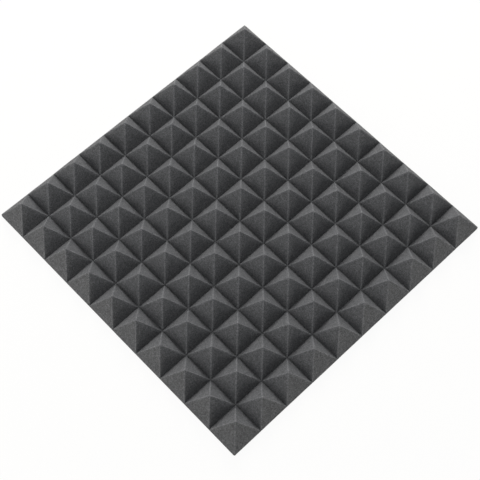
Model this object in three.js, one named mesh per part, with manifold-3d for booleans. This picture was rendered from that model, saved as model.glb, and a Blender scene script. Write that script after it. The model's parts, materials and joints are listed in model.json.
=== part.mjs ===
// Acoustic foam panel: a square tile of open-cell foam cut into a field of pyramids, with a
// self-adhesive back that is covered by a release liner in two halves.
// Millimetres, +Z up. The tile lies on its liner with the pyramids pointing up, and the origin is
// the middle of the face it lies on.
import * as THREE from "three";
import { mergeVertices } from "three/addons/utils/BufferGeometryUtils.js";
import Module from "manifold-3d";

const wasm = await Module();
wasm.setup();

// Foam: the relief is a square grid of equal pyramids that reaches the tile's edges.
const PYRAMIDS_PER_SIDE = 10;
const PITCH = 50; // from one valley to the next
const FACE_HEIGHT = 39.6; // from the valley up to the point where the flat faces would meet
const TIP_RADIUS = 1.0; // the soft point of each pyramid, across its faces
const BASE_THICKNESS = 4; // foam left under the valleys
const CORNER_RADIUS = 1.5; // the tile's four upright corners

// Backing: the layers that are laminated to the foam before it is cut to size, so they end flush.
const ADHESIVE_THICKNESS = 0.2;
const LINER_THICKNESS = 0.15;
const LINER_CUT_WIDTH = 0.5; // the slit that lets a fingernail under the liner

const TIP_SEGMENTS = 4;
const CORNER_SEGMENTS = 5;
const OVERRUN = 5; // how far a cutting solid runs past what it cuts

const SIDE = PITCH * PYRAMIDS_PER_SIDE;

const FOAM = new THREE.MeshStandardMaterial({ color: 0x606062, roughness: 1, metalness: 0 });
const ADHESIVE = new THREE.MeshStandardMaterial({ color: 0xd9d4c2, roughness: 0.35, metalness: 0 });
const LINER = new THREE.MeshStandardMaterial({ color: 0xe4dcc6, roughness: 0.5, metalness: 0 });

// A closed three.js geometry as a solid that can be joined and cut.
function toSolid(geometry) {
  const bare = geometry.clone();
  bare.deleteAttribute("normal");
  bare.deleteAttribute("uv");
  const merged = mergeVertices(bare);
  const mesh = new wasm.Mesh({
    numProp: 3,
    vertProperties: merged.attributes.position.array,
    triVerts: new Uint32Array(merged.index.array),
  });
  return new wasm.Manifold(mesh);
}

// The solid as a three.js geometry again, with flat-shaded faces.
function toGeometry(solid) {
  const mesh = solid.getMesh();
  const geometry = new THREE.BufferGeometry();
  geometry.setAttribute("position", new THREE.BufferAttribute(mesh.vertProperties, 3));
  geometry.setIndex(new THREE.BufferAttribute(mesh.triVerts, 1));
  const flat = geometry.toNonIndexed();
  flat.computeVertexNormals();
  return flat;
}

// The tile seen from above, with its corners rounded.
function tileOutline() {
  const half = SIDE / 2;
  const inner = half - CORNER_RADIUS;
  const quarter = Math.PI / 2;
  const outline = new THREE.Shape();
  outline.absarc(inner, inner, CORNER_RADIUS, 0, quarter);
  outline.absarc(-inner, inner, CORNER_RADIUS, quarter, 2 * quarter);
  outline.absarc(-inner, -inner, CORNER_RADIUS, 2 * quarter, 3 * quarter);
  outline.absarc(inner, -inner, CORNER_RADIUS, 3 * quarter, 4 * quarter);
  return outline;
}

// A flat layer with the tile's outline, lying on the ground plane.
function layer(thickness) {
  return new THREE.ExtrudeGeometry(tileOutline(), {
    depth: thickness,
    bevelEnabled: false,
    curveSegments: CORNER_SEGMENTS,
  });
}

// The cut edge of a slab with one row of teeth: a flat back, and a wedge with a soft tip over each
// pitch. Each tip is an arc that meets both flanks of its wedge smoothly.
function toothedEdge() {
  const half = SIDE / 2;
  const slope = Math.atan2(FACE_HEIGHT, PITCH / 2);
  const arcCentre = BASE_THICKNESS + FACE_HEIGHT - TIP_RADIUS / Math.cos(slope);
  const edge = new THREE.Shape();
  edge.moveTo(-half, 0);
  edge.lineTo(half, 0);
  for (let tooth = PYRAMIDS_PER_SIDE - 1; tooth >= 0; tooth--) {
    const valley = (tooth + 1) * PITCH - half;
    edge.lineTo(valley, BASE_THICKNESS);
    edge.absarc(valley - PITCH / 2, arcCentre, TIP_RADIUS, Math.PI / 2 - slope, Math.PI / 2 + slope);
  }
  edge.lineTo(-half, BASE_THICKNESS);
  return edge;
}

// A slab on the ground plane whose teeth run past the tile at both ends, along Y.
function toothedSlab() {
  const length = SIDE + 2 * OVERRUN;
  const geometry = new THREE.ExtrudeGeometry(toothedEdge(), {
    depth: length,
    bevelEnabled: false,
    curveSegments: TIP_SEGMENTS,
  });
  geometry.translate(0, 0, -length / 2);
  return geometry.rotateX(Math.PI / 2);
}

// Grooves cut across grooves leave the pyramids: the foam is what two toothed slabs at right
// angles have in common, inside the tile's outline.
function foamTile() {
  const blank = toSolid(layer(BASE_THICKNESS + FACE_HEIGHT));
  const alongY = toothedSlab();
  const alongX = alongY.clone().rotateZ(Math.PI / 2);
  return toGeometry(blank.intersect(toSolid(alongY)).intersect(toSolid(alongX)));
}

// One half of the liner, to the left (-1) or the right (+1) of the slit.
function linerHalf(direction) {
  const sheet = toSolid(layer(LINER_THICKNESS));
  const width = SIDE / 2 + OVERRUN;
  const keep = new THREE.BoxGeometry(width, SIDE + 2 * OVERRUN, LINER_THICKNESS + 2 * OVERRUN);
  keep.translate(direction * (LINER_CUT_WIDTH / 2 + width / 2), 0, 0);
  return toGeometry(sheet.intersect(toSolid(keep)));
}

// A named piece of the tile, lifted to where it lies in the stack.
function piece(name, geometry, material, bottom) {
  const mesh = new THREE.Mesh(geometry, material.clone());
  mesh.name = name;
  mesh.position.z = bottom;
  return mesh;
}

const tile = new THREE.Group();
tile.add(piece("release_liner_left", linerHalf(-1), LINER, 0));
tile.add(piece("release_liner_right", linerHalf(1), LINER, 0));
tile.add(piece("adhesive_film", layer(ADHESIVE_THICKNESS), ADHESIVE, LINER_THICKNESS));
tile.add(piece("foam_tile", foamTile(), FOAM, LINER_THICKNESS + ADHESIVE_THICKNESS));

export default tile;
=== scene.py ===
# %% [markdown]
# # An acoustic foam tile
# This lesson dresses one square tile of dark grey acoustic foam. On the real tile a block of
# open-cell polyurethane foam is sliced by a contour wire, once along and once across, so that a
# field of pyramids is left on a thin base. Adhesive film and a split release liner lie behind it.
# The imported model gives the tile's size and place; this script adds the finer shape, the surface,
# the light and the camera. The frame has to be loaded first, because all pieces are placed by it.

# %% Load the frame
import json
import math

import bmesh
import bpy
from mathutils import Matrix, Quaternion, Vector, noise

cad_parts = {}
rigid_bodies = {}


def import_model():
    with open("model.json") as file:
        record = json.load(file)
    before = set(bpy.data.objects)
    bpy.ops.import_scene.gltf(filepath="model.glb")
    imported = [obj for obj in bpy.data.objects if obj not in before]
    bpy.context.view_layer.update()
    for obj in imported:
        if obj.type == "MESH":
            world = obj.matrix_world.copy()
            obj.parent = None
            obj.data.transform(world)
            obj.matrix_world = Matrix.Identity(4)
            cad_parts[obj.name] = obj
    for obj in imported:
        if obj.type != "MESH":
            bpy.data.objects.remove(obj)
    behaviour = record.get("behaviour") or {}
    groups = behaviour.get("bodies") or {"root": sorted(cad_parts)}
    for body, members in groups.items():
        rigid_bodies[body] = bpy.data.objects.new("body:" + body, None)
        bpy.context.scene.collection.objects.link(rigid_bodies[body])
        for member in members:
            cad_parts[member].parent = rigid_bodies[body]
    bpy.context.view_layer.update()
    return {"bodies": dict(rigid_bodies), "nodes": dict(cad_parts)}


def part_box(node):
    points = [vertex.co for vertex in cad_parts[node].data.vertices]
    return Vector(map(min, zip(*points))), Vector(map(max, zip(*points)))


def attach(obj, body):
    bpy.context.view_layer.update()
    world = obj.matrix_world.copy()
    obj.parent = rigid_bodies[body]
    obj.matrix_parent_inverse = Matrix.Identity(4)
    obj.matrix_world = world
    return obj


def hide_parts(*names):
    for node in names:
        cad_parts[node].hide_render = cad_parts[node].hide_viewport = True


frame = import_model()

MM = 0.001
body = next(iter(frame["bodies"]))
print("nodes", sorted(frame["nodes"]), "on body", body)

# %% [markdown]
# ## Sizes that the pieces share
# A real tile is known by its pitch, the distance between two valleys, and by how high its
# pyramids stand. The side and the back face are read from the CAD foam, so the dressed foam always
# fits it. Only what a box can't tell, such as the foam left under the valleys, is written here.

# %% Shared sizes
PYRAMIDS_PER_SIDE = 10
FACE_HEIGHT = 39.6 * MM
BASE_THICKNESS = 4.0 * MM

foam_low, foam_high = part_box("foam_tile")
SIDE = foam_high.x - foam_low.x
HALF = SIDE / 2
PITCH = SIDE / PYRAMIDS_PER_SIDE
VALLEY_HEIGHT = foam_low.z + BASE_THICKNESS
print("pitch", round(PITCH / MM, 2), "mm, valleys", round(VALLEY_HEIGHT / MM, 2), "mm up")

# %% [markdown]
# ## The camera
# The picture is taken from high above one corner with a long lens, which keeps the far pyramids
# nearly as large as the near ones. A camera can be placed by hand until it looks right, or its
# angles can be solved from the grid's own corners. Here the solved angles are used: a bearing
# round the tile, a height above the horizon, a small roll, and the spot in the middle of the frame.
# Blender takes a lens and a sensor in millimetres, and all other lengths in metres.

# %% Camera
CAMERA_BEARING = math.radians(44.27)
CAMERA_ELEVATION = math.radians(64.45)
CAMERA_ROLL = math.radians(2.16)
CAMERA_DISTANCE = 1706.2 * MM
CAMERA_LENS = 86.99
CAMERA_SENSOR = 36.0
LOOKED_AT = Vector((22.48 * MM, -21.44 * MM, VALLEY_HEIGHT))


def towards(bearing, elevation):
    """The direction out of the tile at a bearing from its near side (-Y) and an elevation."""
    level = math.cos(elevation)
    return Vector((math.sin(bearing) * level, -math.cos(bearing) * level, math.sin(elevation)))


out = towards(CAMERA_BEARING, CAMERA_ELEVATION)
camera = bpy.data.objects.new("camera", bpy.data.cameras.new("camera"))
camera.data.lens = CAMERA_LENS
camera.data.sensor_width = CAMERA_SENSOR
camera.location = LOOKED_AT + out * CAMERA_DISTANCE
camera.rotation_mode = "QUATERNION"
camera.rotation_quaternion = (-out).to_track_quat("-Z", "Y") @ Quaternion((0, 0, 1), CAMERA_ROLL)
bpy.context.scene.collection.objects.link(camera)
bpy.context.scene.camera = camera
bpy.context.scene.view_settings.view_transform = "Standard"
print("camera at", [round(value, 4) for value in camera.location])

# %% [markdown]
# ## Small helpers for materials
# Colours are easiest to compare with a picture as the hex values of a paint program, but shaders
# work in linear light, so one function turns one into the other. A second function adds a node,
# sets it up and plugs its inputs in, so that each material below reads as a list of its layers. A
# third starts a material without the nodes that Blender would put into it.

# %% Material helpers
def linear(hex_colour):
    """An sRGB colour such as "5c5c5e" as the linear, opaque colour that a shader takes."""
    shares = [int(hex_colour[i : i + 2], 16) / 255 for i in (0, 2, 4)]
    return [s / 12.92 if s <= 0.04045 else ((s + 0.055) / 1.055) ** 2.4 for s in shares] + [1.0]


def add_node(tree, kind, inputs=(), **settings):
    """Adds a node. An input is a value, a socket, or a node, which stands for its first output."""
    node = tree.nodes.new(kind)
    for name, value in settings.items():
        setattr(node, name, value)
    for socket, value in dict(inputs).items():
        if isinstance(value, bpy.types.Node):
            value = value.outputs[0]
        if isinstance(value, bpy.types.NodeSocket):
            tree.links.new(value, node.inputs[socket])
        else:
            node.inputs[socket].default_value = value
    return node


def new_material(name):
    """An empty material and its node tree."""
    material = bpy.data.materials.new(name)
    material.use_nodes = True
    material.node_tree.nodes.clear()
    return material, material.node_tree


print("mid grey 808080 is", round(linear("808080")[0], 3), "in linear light")

# %% [markdown]
# ## The foam block: a grid poked into pyramids
# The wire leaves flat faces that meet in straight ridges. The field could be one pyramid copied a
# hundred times, but the copies would still have to be welded. A grid with one square for each
# pyramid, whose squares are poked upwards in the middle, gives the whole connected field at once.
# Splitting every triangle evenly then makes room for the finer shape, and its edges already lie
# along the ridges and valleys.

# %% Pyramid field
SPLITS = 18

foam_mesh = bmesh.new()
bmesh.ops.create_grid(
    foam_mesh, x_segments=PYRAMIDS_PER_SIDE, y_segments=PYRAMIDS_PER_SIDE, size=HALF,
    matrix=Matrix.Translation((0, 0, VALLEY_HEIGHT)),
)
print("squares", len(foam_mesh.faces))
bmesh.ops.poke(foam_mesh, faces=foam_mesh.faces, offset=FACE_HEIGHT)
bmesh.ops.subdivide_edges(foam_mesh, edges=foam_mesh.edges, cuts=SPLITS, use_grid_fill=True)


def highest():
    """The height of the foam's highest point, in mm, for the print-outs."""
    return round(max(v.co.z for v in foam_mesh.verts) / MM, 2)


print("triangles", len(foam_mesh.faces), "sharp tip", highest(), "mm up")

# %% [markdown]
# ## Blunt tips
# Foam can't hold a needle point: the cell walls at a tip give way and it goes blunt. Averaging
# each point near a tip with its neighbours does that. One pass is enough for a tip of a
# millimetre, as a fresh tile has; more would show a tile that has been handled for years.

# %% Blunt the tips
TIP_DEPTH = 3 * MM
TIP_PASSES = 1

sharp_tip = VALLEY_HEIGHT + FACE_HEIGHT
near_tips = [v for v in foam_mesh.verts if v.co.z > sharp_tip - TIP_DEPTH]
for _ in range(TIP_PASSES):
    bmesh.ops.smooth_vert(
        foam_mesh, verts=near_tips, factor=0.5, use_axis_x=True, use_axis_y=True, use_axis_z=True
    )
print("blunt tip", highest(), "mm up, CAD", round(foam_high.z / MM, 2))

# %% [markdown]
# ## Soft ridges
# Nor can foam hold a knife edge. Smoothing would round a band several millimetres wide, so the
# ridges are bevelled instead, which rounds less than a millimetre and leaves the faces flat. The
# valleys stay as sharp as the wire cut them, and so does the last bit of each ridge above them,
# because four bevels would run into one another where four ridges meet.

# %% Bevel the ridges
RIDGE_BEVEL = 0.35 * MM
RIDGE_SEGMENTS = 2
HAIR = 0.01 * MM


def on_ridge(place):
    """Whether a point lies over a diagonal of its pyramid's square."""
    across = (place.x + HALF) / PITCH % 1 - 0.5
    along = (place.y + HALF) / PITCH % 1 - 0.5
    return abs(abs(across) - abs(along)) < HAIR / PITCH


def is_ridge(edge):
    """Whether an edge runs down a ridge, clear of the valley where it would meet three others."""
    start, end = (v.co for v in edge.verts)
    slants = abs(start.z - end.z) > HAIR and min(start.z, end.z) > VALLEY_HEIGHT + HAIR
    return slants and on_ridge(start) and on_ridge(end) and on_ridge((start + end) / 2)


ridges = [e for e in foam_mesh.edges if is_ridge(e)]
bmesh.ops.bevel(
    foam_mesh, geom=ridges, offset=RIDGE_BEVEL, offset_type="OFFSET", segments=RIDGE_SEGMENTS,
    profile=0.5, affect="EDGES", material=-1, clamp_overlap=True,
)
print("ridge edges", len(ridges), "faces now", len(foam_mesh.faces), "tip", highest(), "mm up")

# %% [markdown]
# ## The base
# Under the pyramids a few millimetres of foam hold them together, and its four sides are a plain
# saw cut. A cube below the field would have to be welded to it, so the open rim of the field is
# extruded straight down to the back face instead, and one face closes the back. The four upright
# corners, worn by handling, get a small bevel.

# %% Base and back
CORNER_RADIUS = 1.5 * MM
CORNER_SEGMENTS = 4

rim = [e for e in foam_mesh.edges if e.is_boundary]
walls = bmesh.ops.extrude_edge_only(foam_mesh, edges=rim)["geom"]
for v in [part for part in walls if isinstance(part, bmesh.types.BMVert)]:
    v.co.z = foam_low.z
lower_edges = [part for part in walls if isinstance(part, bmesh.types.BMEdge) and part.is_boundary]
bmesh.ops.contextual_create(foam_mesh, geom=lower_edges)


def is_corner(edge):
    """Whether an edge is one of the tile's four upright corners."""
    return all(min(abs(v.co.x), abs(v.co.y)) > HALF - HAIR for v in edge.verts)


corners = [e for e in foam_mesh.edges if is_corner(e)]
bmesh.ops.bevel(
    foam_mesh, geom=corners, offset=CORNER_RADIUS, offset_type="OFFSET", segments=CORNER_SEGMENTS,
    profile=0.5, affect="EDGES", material=-1, clamp_overlap=True,
)
bmesh.ops.recalc_face_normals(foam_mesh, faces=foam_mesh.faces)
open_edges = sum(e.is_boundary for e in foam_mesh.edges)
print("rim edges", len(rim), "corners", len(corners), "open edges", open_edges)

# %% [markdown]
# The surface is shaded smooth, so that the bevels look round. The rim and the back are as sharp as
# they were cut, so their edges are marked sharp, which keeps the shading of one face from running
# into the next.

# %% Sharp edges
for face in foam_mesh.faces:
    face.smooth = True
low_edges = [e for e in foam_mesh.edges if all(v.co.z < VALLEY_HEIGHT + HAIR for v in e.verts)]
for edge in low_edges:
    edge.smooth = abs(edge.verts[0].co.z - edge.verts[1].co.z) > HAIR
print("sharp edges", sum(not e.smooth for e in low_edges))

# %% [markdown]
# ## A cut that isn't perfect
# The wire sways a little and drags at the cells, so faces are never quite flat and ridges never
# quite straight. A Displace modifier could add this, but a few lines of noise on the points keep
# it in the mesh. A slow noise bends the faces, a fine one roughens them. Blender's noise vectors
# start from the clock unless they are given a seed, and with one each run cuts the same foam.

# %% Uneven surface
SWAY = 0.25 * MM
SWAY_LENGTH = 35 * MM
GRAIN = 0.10 * MM
GRAIN_LENGTH = 3 * MM
CUT_SEED = 4

noise.seed_set(CUT_SEED)
foam_mesh.normal_update()
for v in foam_mesh.verts:
    shift = noise.noise_vector(v.co / SWAY_LENGTH) * SWAY
    shift += v.normal * noise.noise(v.co / GRAIN_LENGTH) * GRAIN
    if v.co.z < foam_low.z + HAIR:
        shift.z = 0
    v.co += shift

mesh = bpy.data.meshes.new("pyramid_foam")
foam_mesh.to_mesh(mesh)
foam_mesh.free()
foam = bpy.data.objects.new("pyramid_foam", mesh)
bpy.context.scene.collection.objects.link(foam)
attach(foam, body)
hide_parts("foam_tile")
triangles = sum(len(p.vertices) - 2 for p in mesh.polygons)
print("foam", len(mesh.vertices), "points", triangles, "triangles")

# %% [markdown]
# ## Finish: cut open-cell polyurethane foam
# Charcoal foam is a mesh of thin dark threads round bubbles of about a millimetre. It has no shine
# at all. The eye sees a fine speckle, because each cut bubble is a dark pit with a paler rim of
# threads, a coarser one, because bubbles grow in clumps of larger and smaller ones, and very faint
# clouds where the block rose unevenly. A photo could be laid over the faces, but it would repeat
# and stretch. Patterns worked out from the place in the block, in real millimetres, run on from
# face to face as the bubbles do.

# %% Pores and clumps
PORE_SPACING = 1.2 * MM
CLUMP_LENGTH = 3 * MM
CLOUD_LENGTH = 12 * MM

# How far from a pore's middle, in pore spacings, its dark pit ends and its pale rim begins, and
# how much of the foam's colour each of them shows.
PIT_END, RIM_START = 0.15, 0.7
PIT_SHADE, RIM_SHADE = 0.52, 1.32

# Nearly all of a noise texture lies between these two values.
NOISE_LOW, NOISE_HIGH = 0.3, 0.7

foam_finish, tree = new_material("cut_open_cell_polyurethane_foam")
place = add_node(tree, "ShaderNodeTexCoord").outputs["Object"]


def cloudy(tree, place, length, detail, spread):
    """A factor round 1 that wanders by spread, in patches about as large as length."""
    clouds = add_node(
        tree, "ShaderNodeTexNoise", {"Vector": place, "Scale": 1 / length, "Detail": detail}
    )
    return add_node(
        tree, "ShaderNodeMapRange",
        {
            "Value": clouds, "From Min": NOISE_LOW, "From Max": NOISE_HIGH,
            "To Min": 1 - spread, "To Max": 1 + spread,
        },
    )


pores = add_node(
    tree, "ShaderNodeTexVoronoi", {"Vector": place, "Scale": 1 / PORE_SPACING}, feature="F1"
)
shade = add_node(
    tree, "ShaderNodeMapRange",
    {
        "Value": pores, "From Min": PIT_END, "From Max": RIM_START,
        "To Min": PIT_SHADE, "To Max": RIM_SHADE,
    },
)
clumps = cloudy(tree, place, CLUMP_LENGTH, detail=2.0, spread=0.18)
clouds = cloudy(tree, place, CLOUD_LENGTH, detail=3.0, spread=0.05)
for factor in (clumps, clouds):
    shade = add_node(tree, "ShaderNodeMath", {0: shade, 1: factor}, operation="MULTIPLY")
print("pores", round(PORE_SPACING / MM, 1), "mm, about", round(SIDE / PORE_SPACING), "along a side")

# %% [markdown]
# A painted highlight runs along each ridge: the foam's colour is made paler there, for the light
# that the loose threads of a cut ridge catch and let through from both sides. Its place is worked
# out from the
# grid: on a ridge, a point is as far from its pyramid's middle along one side as along the other.
# Squaring the fade gives the line a bright middle and a soft edge. It ends in the valley, where
# light no longer gets behind the threads.

# %% Ridge lines, a painted highlight
RIDGE_WIDTH = 3.2 * MM
RIDGE_LIGHT = 0.45
RIDGE_FADE = 3 * MM

axes = add_node(tree, "ShaderNodeSeparateXYZ", {"Vector": place})


def from_pyramid_centre(axis):
    """How far a point is from its pyramid's middle along one axis, as a share of the pitch."""
    turns = add_node(tree, "ShaderNodeMath", {0: axis, 1: 1 / PITCH}, operation="MULTIPLY")
    part = add_node(tree, "ShaderNodeMath", {0: turns}, operation="FRACT")
    offset = add_node(tree, "ShaderNodeMath", {0: part, 1: 0.5}, operation="SUBTRACT")
    return add_node(tree, "ShaderNodeMath", {0: offset}, operation="ABSOLUTE")


along_x, along_y = (from_pyramid_centre(axes.outputs[name]) for name in "XY")
apart = add_node(tree, "ShaderNodeMath", {0: along_x, 1: along_y}, operation="SUBTRACT")
apart = add_node(tree, "ShaderNodeMath", {0: apart}, operation="ABSOLUTE")
nearness = add_node(
    tree, "ShaderNodeMapRange", {"Value": apart, "From Min": RIDGE_WIDTH / PITCH, "From Max": 0.0}
)
line = add_node(tree, "ShaderNodeMath", {0: nearness, 1: 2.0}, operation="POWER")
highlight_above_valley = add_node(
    tree, "ShaderNodeMapRange",
    {
        "Value": axes.outputs["Z"], "From Min": VALLEY_HEIGHT,
        "From Max": VALLEY_HEIGHT + RIDGE_FADE, "To Max": RIDGE_LIGHT,
    },
    interpolation_type="SMOOTHSTEP",
)
# Painted highlight: along each ridge the foam's colour is made up to RIDGE_LIGHT paler, fading out
# towards the valley.
painted_ridge_highlight = add_node(
    tree, "ShaderNodeMath", {0: line, 1: highlight_above_valley, 2: 1.0}, operation="MULTIPLY_ADD"
)
shade = add_node(tree, "ShaderNodeMath", {0: shade, 1: painted_ridge_highlight}, operation="MULTIPLY")
print("ridge lines fade over", round(RIDGE_WIDTH / MM, 1), "mm")

# %% [markdown]
# The colour is a nearly neutral charcoal. The same pore pattern also tilts the surface a little,
# so that low light catches the rims of the pores. Cut foam spreads light evenly in all directions,
# so the surface is fully rough and hardly reflects.

# %% Foam colour and surface
FOAM_COLOUR = linear("606061")
PORE_DEPTH = 0.3 * MM

colour = add_node(
    tree, "ShaderNodeVectorMath", {0: FOAM_COLOUR[:3], "Scale": shade}, operation="SCALE"
)
bump = add_node(
    tree, "ShaderNodeBump", {"Height": pores, "Strength": 0.2, "Distance": PORE_DEPTH}
)
cut_foam = add_node(
    tree, "ShaderNodeBsdfPrincipled",
    {"Base Color": colour, "Roughness": 1.0, "Specular IOR Level": 0.1, "Normal": bump},
)
add_node(tree, "ShaderNodeOutputMaterial", {"Surface": cut_foam})
mesh.materials.append(foam_finish)
print("foam colour", [round(value, 3) for value in FOAM_COLOUR[:3]], "nodes", len(tree.nodes))

# %% [markdown]
# ## Finish: adhesive film
# The film on the back is acrylic pressure-sensitive adhesive, rolled on as a coat and never cured
# hard. To the eye it is a cloudy, slightly yellow gloss with soft ripples from the roller, and it
# only shows as a hairline round the sides and in the slit. Glass with colour in it would be closer
# to a clear glue, but over dark foam a milky solid looks the same.

# %% Adhesive material
RIPPLE_LENGTH = 5 * MM
RIPPLE_DEPTH = 0.05 * MM
FILM_DARK, FILM_PALE = linear("d2ccb8"), linear("dfdbcb")
FILM_SMOOTHEST, FILM_ROUGHEST = 0.22, 0.42

# A Mix node's colour sockets share their names with its other sockets, so they go by number.
MIX_FIRST, MIX_SECOND, MIX_RESULT = 6, 7, 2

adhesive_finish, tree = new_material("rolled_acrylic_adhesive_film")
place = add_node(tree, "ShaderNodeTexCoord").outputs["Object"]
ripples = add_node(tree, "ShaderNodeTexNoise", {"Vector": place, "Scale": 1 / RIPPLE_LENGTH})
milky = add_node(
    tree, "ShaderNodeMix", {"Factor": ripples, MIX_FIRST: FILM_DARK, MIX_SECOND: FILM_PALE},
    data_type="RGBA",
)
bump = add_node(tree, "ShaderNodeBump", {"Height": ripples, "Distance": RIPPLE_DEPTH})
gloss = add_node(
    tree, "ShaderNodeMapRange",
    {"Value": ripples, "To Min": FILM_SMOOTHEST, "To Max": FILM_ROUGHEST},
)
film = add_node(
    tree, "ShaderNodeBsdfPrincipled",
    {"Base Color": milky.outputs[MIX_RESULT], "Roughness": gloss, "IOR": 1.47, "Normal": bump},
)
add_node(tree, "ShaderNodeOutputMaterial", {"Surface": film})
print("adhesive nodes", len(tree.nodes))

# %% [markdown]
# ## Finish: release liner
# The two liner halves are kraft paper, pressed smooth between hot rollers and coated with
# silicone, so that the glue lets go of it. It looks cream, with short fibres that run with the web
# and a low satin shine. The fibres come from a noise that is squeezed across the web. Real ones
# are too fine for the picture, so they are drawn about three times as coarse. A second, slow
# noise lets the sheet cockle, as paper does when it takes up damp.

# %% Liner material
FIBRE_WIDTH = 1.2 * MM
FIBRE_LENGTH = 12 * MM
COCKLE_LENGTH = 45 * MM
COCKLE_DEPTH = 4 * MM
LINER_DARK, LINER_PALE = linear("d8ceb4"), linear("efe9d8")
LINER_SMOOTHEST, LINER_ROUGHEST = 0.38, 0.58

liner_finish, tree = new_material("calendered_silicone_coated_kraft_paper")
place = add_node(tree, "ShaderNodeTexCoord").outputs["Object"]
along_web = add_node(
    tree, "ShaderNodeMapping",
    {"Vector": place, "Scale": (1 / FIBRE_WIDTH, 1 / FIBRE_LENGTH, 1 / FIBRE_WIDTH)},
)
fibres = add_node(tree, "ShaderNodeTexNoise", {"Vector": along_web, "Scale": 1.0, "Detail": 3.0})
cream = add_node(
    tree, "ShaderNodeMix", {"Factor": fibres, MIX_FIRST: LINER_DARK, MIX_SECOND: LINER_PALE},
    data_type="RGBA",
)
satin = add_node(
    tree, "ShaderNodeMapRange",
    {"Value": fibres, "To Min": LINER_SMOOTHEST, "To Max": LINER_ROUGHEST},
)
cockle = add_node(tree, "ShaderNodeTexNoise", {"Vector": place, "Scale": 1 / COCKLE_LENGTH})
bump = add_node(tree, "ShaderNodeBump", {"Height": cockle, "Distance": COCKLE_DEPTH})
paper = add_node(
    tree, "ShaderNodeBsdfPrincipled",
    {"Base Color": cream.outputs[MIX_RESULT], "Roughness": satin, "IOR": 1.42, "Normal": bump},
)
add_node(tree, "ShaderNodeOutputMaterial", {"Surface": paper})
print("liner nodes", len(tree.nodes))

# %% [markdown]
# The film and the two liner halves keep their CAD meshes, because their shape is right. Copies
# could be dressed in their place, but each copy would have to be kept in step with the CAD. A
# material in the slots of the CAD pieces does the same.

# %% Dress the CAD pieces
finishes = {
    "adhesive_film": adhesive_finish,
    "release_liner_left": liner_finish,
    "release_liner_right": liner_finish,
}
for name, finish in finishes.items():
    slots = frame["nodes"][name].material_slots
    for slot in slots:
        slot.material = finish
    print(name, "has", finish.name, "in", len(slots), "slot")

# %% [markdown]
# ## Floor
# A plain white paper sweep lies under the tile and catches its shadow. A white floor could be lit
# until it clips, but that light would bounce into the foam as well. Here the paper is a plain
# warm white one for all light that bounces, and only where the camera looks does it show nearly
# as white as the room behind it. It lies a hair higher than the tile's back face: at the same
# height the two would fight for the same place in a view from below.

# %% Floor
FLOOR_SIZE = 6.0
FLOOR_LIFT = 0.2 * MM
floor_mesh = bmesh.new()
bmesh.ops.create_grid(
    floor_mesh, x_segments=1, y_segments=1, size=FLOOR_SIZE / 2,
    matrix=Matrix.Translation((0, 0, FLOOR_LIFT)),
)
floor_data = bpy.data.meshes.new("floor")
floor_mesh.to_mesh(floor_data)
floor_mesh.free()
floor = bpy.data.objects.new("floor", floor_data)
bpy.context.scene.collection.objects.link(floor)


def is_seen(tree):
    """1 for a ray from the camera, or one that glossy or clear material sends on, else 0."""
    path = add_node(tree, "ShaderNodeLightPath")
    either = path.outputs["Is Camera Ray"]
    for ray in ("Is Glossy Ray", "Is Transmission Ray"):
        either = add_node(
            tree, "ShaderNodeMath", {0: either, 1: path.outputs[ray]}, operation="MAXIMUM"
        )
    return either


SEEN_WHITE_SHARE = 0.93
WARM_WHITE = linear("faf5ea")
PLAIN_WHITE = linear("ffffff")

floor_finish, tree = new_material("white_paper_sweep")
sweep = add_node(tree, "ShaderNodeBsdfDiffuse", {"Color": WARM_WHITE})
glow = add_node(tree, "ShaderNodeEmission", {"Color": PLAIN_WHITE, "Strength": 1.0})
share = add_node(
    tree, "ShaderNodeMath", {0: is_seen(tree), 1: SEEN_WHITE_SHARE}, operation="MULTIPLY"
)
both = add_node(tree, "ShaderNodeMixShader", {"Fac": share, 1: sweep, 2: glow})
add_node(tree, "ShaderNodeOutputMaterial", {"Surface": both})
floor_data.materials.append(floor_finish)
print("floor", FLOOR_SIZE, "m wide, shadow share", round(1 - SEEN_WHITE_SHARE, 2))

# %% [markdown]
# ## The room's own light
# Some of the light is soft and comes from all round, as in a white room, which is why no groove
# is quite black. The same trick as on the floor keeps the backdrop white where the camera looks
# past the tile, while less than that falls on it.

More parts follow.
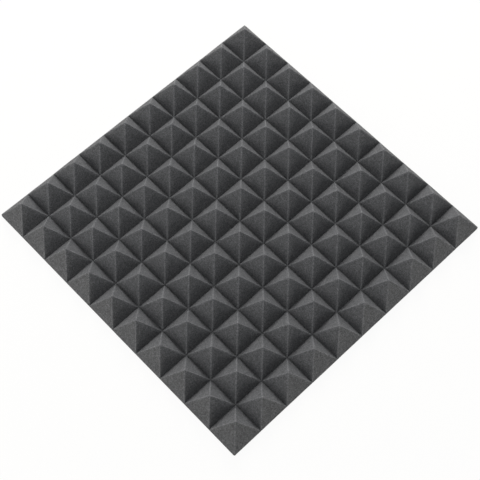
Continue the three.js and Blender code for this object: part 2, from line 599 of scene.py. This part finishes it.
# %% White room
ROOM_COLOUR = linear("f8fcff")
ROOM_STRENGTH = 0.33

world = bpy.data.worlds.new("white_room")
bpy.context.scene.world = world
world.use_nodes = True
tree = world.node_tree
tree.nodes.clear()
room = add_node(tree, "ShaderNodeBackground", {"Color": ROOM_COLOUR, "Strength": ROOM_STRENGTH})
backdrop = add_node(tree, "ShaderNodeBackground", {"Color": PLAIN_WHITE, "Strength": 1.0})
both = add_node(tree, "ShaderNodeMixShader", {"Fac": is_seen(tree), 1: room, 2: backdrop})
add_node(tree, "ShaderNodeOutputWorld", {"Surface": both})
print("room strength", ROOM_STRENGTH, "nodes", len(tree.nodes))

# %% [markdown]
# ## Softboxes
# The relief reads by the difference between its four kinds of face. A large softbox behind lights
# the two far ones, and a wide one in front lifts the near left ones. Three weak ones stand low:
# their light skims over the ridges and reaches only the upper part of the faces, so the grooves
# stay dark. One strong lamp would give the same order of tones, but hard shadow edges too. The
# last one stands under the floor and lights the tile's back, for a view from below.

# %% Softboxes
def add_softbox(name, bearing, elevation, distance, size, watts):
    """A square lamp that faces the middle of the tile."""
    lamp = bpy.data.objects.new(name, bpy.data.lights.new(name, "AREA"))
    lamp.data.size = size
    lamp.data.energy = watts
    away = towards(math.radians(bearing), math.radians(elevation))
    lamp.location = away * distance
    lamp.rotation_mode = "QUATERNION"
    lamp.rotation_quaternion = (-away).to_track_quat("-Z", "Y")
    bpy.context.scene.collection.objects.link(lamp)
    print(name, watts, "W at", [round(value, 2) for value in lamp.location])


add_softbox("softbox_behind", bearing=225, elevation=41, distance=1.75, size=0.75, watts=23)
add_softbox("softbox_front", bearing=335, elevation=30, distance=1.6, size=1.2, watts=10.5)
add_softbox("softbox_right", bearing=90, elevation=22, distance=1.6, size=0.6, watts=3.2)
add_softbox("softbox_low_right", bearing=135, elevation=8, distance=2.0, size=0.5, watts=3.7)
add_softbox("softbox_low_behind", bearing=225, elevation=8, distance=2.0, size=0.5, watts=5.2)
add_softbox("softbox_below", bearing=335, elevation=-50, distance=1.75, size=1.2, watts=25)
